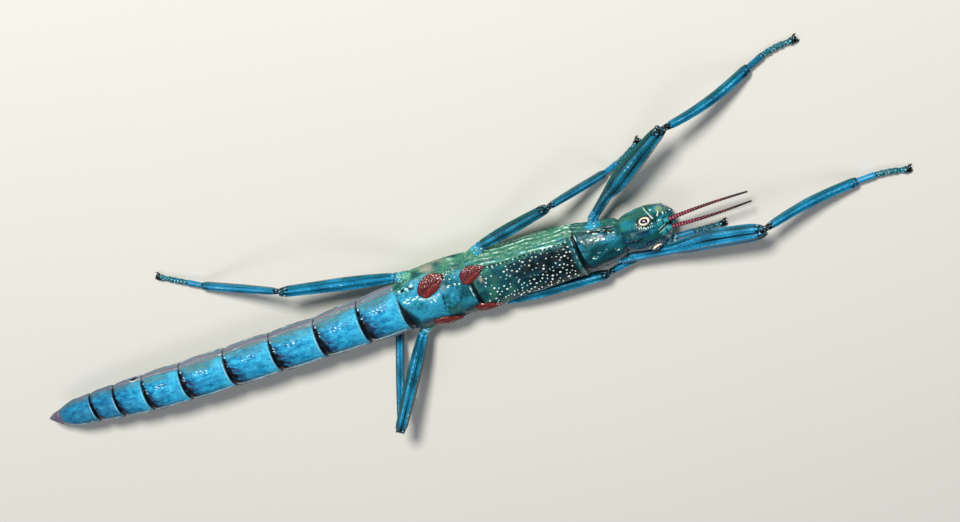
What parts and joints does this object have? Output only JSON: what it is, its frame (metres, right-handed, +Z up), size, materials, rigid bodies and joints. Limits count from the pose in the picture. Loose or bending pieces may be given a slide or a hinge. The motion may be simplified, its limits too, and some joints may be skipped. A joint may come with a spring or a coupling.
{
  "type": "peppermint stick insect",
  "caption": "Life-size stick insect with a long ringed body, short oval wing pads, short feelers and six slender ridged legs, front legs stretched forward",
  "frame": {"origin": "middle of the footprint, at the level of the soles", "axes": "+X from tail to head along the body, +Y to the insect's left, +Z up"},
  "size_m": [0.1536, 0.0453, 0.0119],
  "materials": {
    "abdomen": "glossy sky-blue cuticle with blue-black hind edges on each ring and mauve flanks",
    "thorax": "blue-green cuticle, dark navy back with pale granules, mint-green flanks",
    "head": "smooth teal-green cuticle",
    "leg": "glossy deep blue ridged cuticle with blackish knees",
    "coxa": "soft mint-green and cyan cuticle",
    "wing": "glossy maroon-red wing pads",
    "antenna": "crimson with pale rings and a black tip",
    "eye": "wet cream eye with a dark ring and a mauve centre",
    "mouth": "dull teal mouthparts"
  },
  "bodies": {
    "root": {"abdomen_10": "abdomen", "abdomen_2": "abdomen", "abdomen_3": "abdomen", "abdomen_4": "abdomen", "abdomen_5": "abdomen", "abdomen_6": "abdomen", "abdomen_7": "abdomen", "abdomen_8": "abdomen", "abdomen_9": "abdomen", "antenna_left": "antenna", "antenna_right": "antenna", "cercus_left": "abdomen", "cercus_right": "abdomen", "coxa_front_left": "coxa", "coxa_front_right": "coxa", "coxa_hind_left": "coxa", "coxa_hind_right": "coxa", "coxa_middle_left": "coxa", "coxa_middle_right": "coxa", "eye_left": "eye", "eye_right": "eye", "femur_front_left": "leg", "femur_front_right": "leg", "femur_hind_left": "leg", "femur_hind_right": "leg", "femur_middle_left": "leg", "femur_middle_right": "leg", "head": "head", "hindwing_left": "wing", "hindwing_right": "wing", "median_segment": "thorax", "mesothorax": "thorax", "metathorax": "thorax", "mouthparts": "mouth", "palp_left": "mouth", "palp_right": "mouth", "pronotum": "thorax", "subgenital_plate": "abdomen", "tail_tip": "abdomen", "tarsus_front_left": "leg", "tarsus_front_right": "leg", "tarsus_hind_left": "leg", "tarsus_hind_right": "leg", "tarsus_middle_left": "leg", "tarsus_middle_right": "leg", "tegmen_left": "wing", "tegmen_right": "wing", "tibia_front_left": "leg", "tibia_front_right": "leg", "tibia_hind_left": "leg", "tibia_hind_right": "leg", "tibia_middle_left": "leg", "tibia_middle_right": "leg"}
  },
  "joints": []
}
